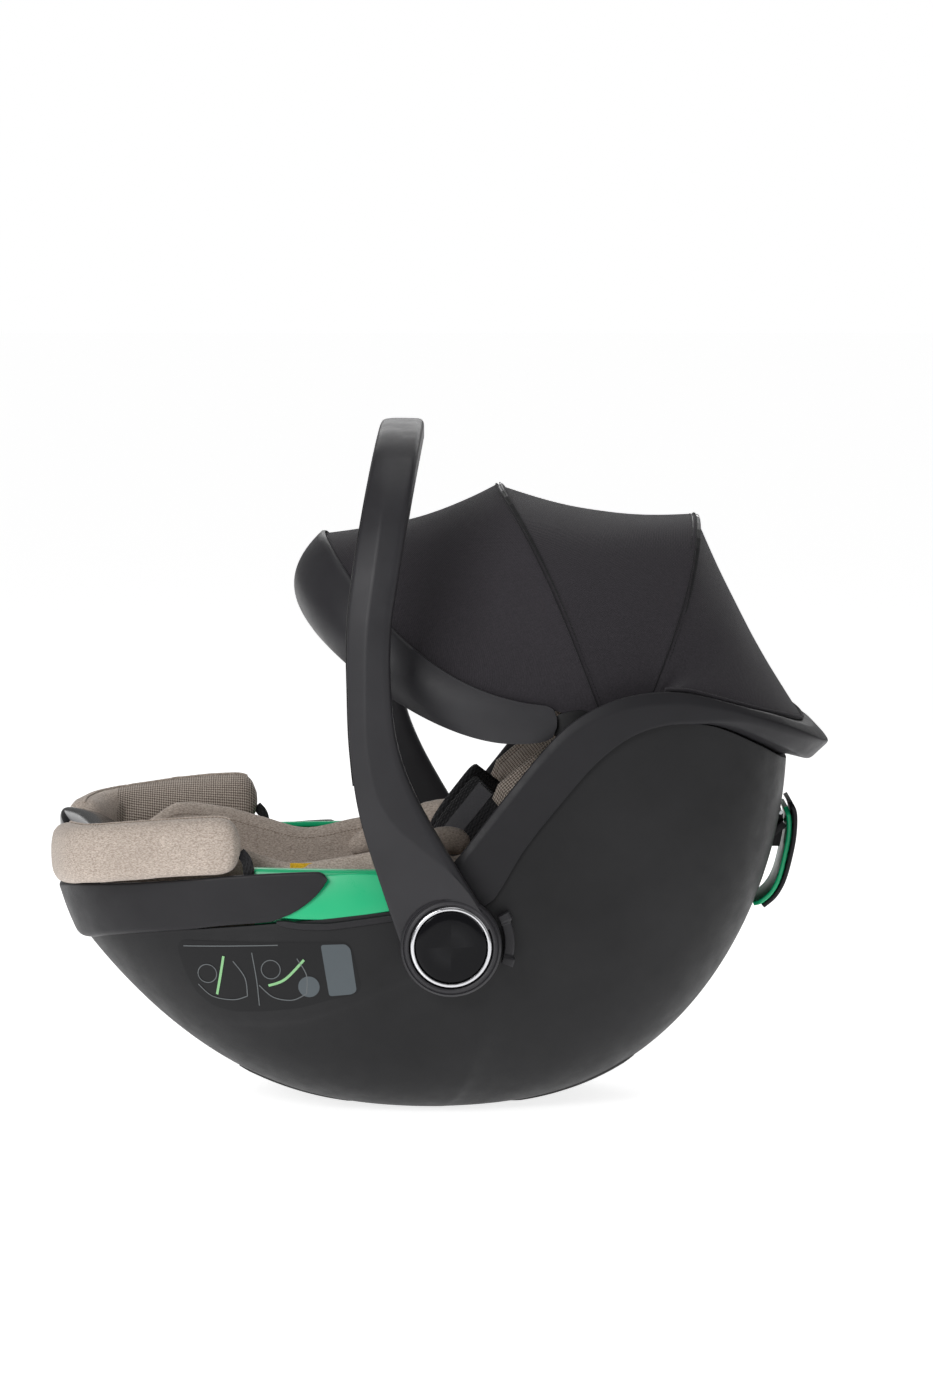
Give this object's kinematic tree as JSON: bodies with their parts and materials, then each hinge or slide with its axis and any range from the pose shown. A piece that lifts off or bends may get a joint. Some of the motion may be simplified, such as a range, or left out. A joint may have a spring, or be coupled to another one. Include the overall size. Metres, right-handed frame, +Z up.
{
  "type": "infant car seat",
  "caption": "Infant car seat shell with carrying handle, folding canopy, adjustable headrest, harness and vehicle belt guides.",
  "frame": {"origin": "on the floor, at the middle of the rocker's flat stretch", "axes": "+Z up, +X towards the head end, Y across the seat"},
  "size_m": [0.666, 0.438, 0.5865],
  "materials": {
    "shell_plastic": "fine matte texture",
    "handle_plastic": "satin",
    "green_plastic": "satin gloss",
    "gloss_black": "high gloss",
    "chrome": "polished",
    "steel": "plated",
    "foam": "expanded foam beads",
    "beige_fabric": "soft melange jersey",
    "knit_fabric": "dotted knit mesh",
    "canopy_fabric": "dense dark weave",
    "webbing": "woven webbing",
    "red_plastic": "satin"
  },
  "bodies": {
    "carrier": {"shell": "shell_plastic", "foot_rim": "shell_plastic", "head_rim": "shell_plastic", "belt_hook_cover": "shell_plastic", "belt_hook_bracket": "shell_plastic", "hub_plate_left": "shell_plastic", "hub_plate_right": "shell_plastic", "adjuster_housing": "handle_plastic", "belt_hook": "green_plastic", "belt_guide_left": "green_plastic", "belt_guide_right": "green_plastic", "front_adjuster_cover": "gloss_black", "buckle_body": "gloss_black", "harness_yoke": "steel", "hub_bolt_left": "steel", "hub_bolt_right": "steel", "hub_spring_left": "steel", "hub_spring_right": "steel", "canopy_pivot_left": "steel", "canopy_pivot_right": "steel", "buckle_tongue_left": "steel", "buckle_tongue_right": "steel", "foam_liner": "foam", "seat_cover": "beige_fabric", "foot_wing_left": "beige_fabric", "foot_wing_right": "beige_fabric", "canopy_rear_panel": "canopy_fabric", "crotch_strap": "webbing", "adjuster_strap": "webbing", "shoulder_strap_left": "webbing", "shoulder_strap_right": "webbing", "shoulder_pad_left": "webbing", "shoulder_pad_right": "webbing", "lap_strap_left": "webbing", "lap_strap_right": "webbing"},
    "handle": {"handle_outer_shell": "handle_plastic", "handle_inner_shell": "handle_plastic"},
    "button_left": {"handle_button_left": "gloss_black", "handle_button_ring_left": "chrome"},
    "button_right": {"handle_button_right": "gloss_black", "handle_button_ring_right": "chrome"},
    "trigger_left": {"adapter_trigger_left": "handle_plastic"},
    "trigger_right": {"adapter_trigger_right": "handle_plastic"},
    "rear_rib": {"canopy_rear_rib": "handle_plastic", "canopy_middle_panel": "canopy_fabric"},
    "middle_rib": {"canopy_middle_rib": "handle_plastic", "canopy_front_panel": "canopy_fabric"},
    "brim": {"visor": "handle_plastic"},
    "headrest": {"headrest_core": "foam", "headrest_pad": "knit_fabric", "headrest_handle": "handle_plastic"},
    "buckle_release": {"buckle_button": "red_plastic"},
    "adjuster_release": {"adjuster_button": "gloss_black"}
  },
  "joints": [
    {"name": "handle_turn", "type": "hinge", "parent": "carrier", "child": "handle", "pos_m": [0.015, 0, 0.157], "axis": [0, -1, 0], "range_deg": [-105, 100]},
    {"name": "button_left_press", "type": "slide", "parent": "handle", "child": "button_left", "axis": [0, -1, 0], "range_m": [0, 0.0045], "stiffness_N_per_m": 1500, "deforming": ["hub_spring_left"]},
    {"name": "button_right_press", "type": "slide", "parent": "handle", "child": "button_right", "axis": [0, 1, 0], "range_m": [0, 0.0045], "stiffness_N_per_m": 1500, "deforming": ["hub_spring_right"]},
    {"name": "canopy_fold", "type": "hinge", "parent": "carrier", "child": "rear_rib", "pos_m": [0.14, 0, 0.3], "axis": [0, 1, 0], "range_deg": [0, 23], "deforming": ["canopy_rear_panel", "canopy_middle_panel", "canopy_front_panel"]},
    {"name": "canopy_middle_turn", "type": "hinge", "parent": "rear_rib", "child": "middle_rib", "pos_m": [0.14, 0, 0.3], "axis": [0, 1, 0], "range_deg": [0, 26.45]},
    {"name": "canopy_brim_turn", "type": "hinge", "parent": "middle_rib", "child": "brim", "pos_m": [0.14, 0, 0.3], "axis": [0, 1, 0], "range_deg": [0, 20.7]},
    {"name": "trigger_left_pull", "type": "slide", "parent": "carrier", "child": "trigger_left", "axis": [1, 0, 0], "range_m": [0, 0.004], "stiffness_N_per_m": 800},
    {"name": "trigger_right_pull", "type": "slide", "parent": "carrier", "child": "trigger_right", "axis": [1, 0, 0], "range_m": [0, 0.004], "stiffness_N_per_m": 800},
    {"name": "headrest_height", "type": "slide", "parent": "carrier", "child": "headrest", "axis": [0.766, 0, 0.6428], "range_m": [0, 0.016]},
    {"name": "buckle_press", "type": "slide", "parent": "carrier", "child": "buckle_release", "axis": [0.6293, 0, -0.7771], "range_m": [0, 0.0025], "stiffness_N_per_m": 1500},
    {"name": "adjuster_press", "type": "slide", "parent": "carrier", "child": "adjuster_release", "axis": [-0.3511, 0, -0.9363], "range_m": [0, 0.0025], "stiffness_N_per_m": 1500}
  ],
  "couplings": [
    {"joint": "canopy_middle_turn", "follows": "canopy_fold", "ratio": 1.15},
    {"joint": "canopy_brim_turn", "follows": "canopy_fold", "ratio": 0.9}
  ]
}
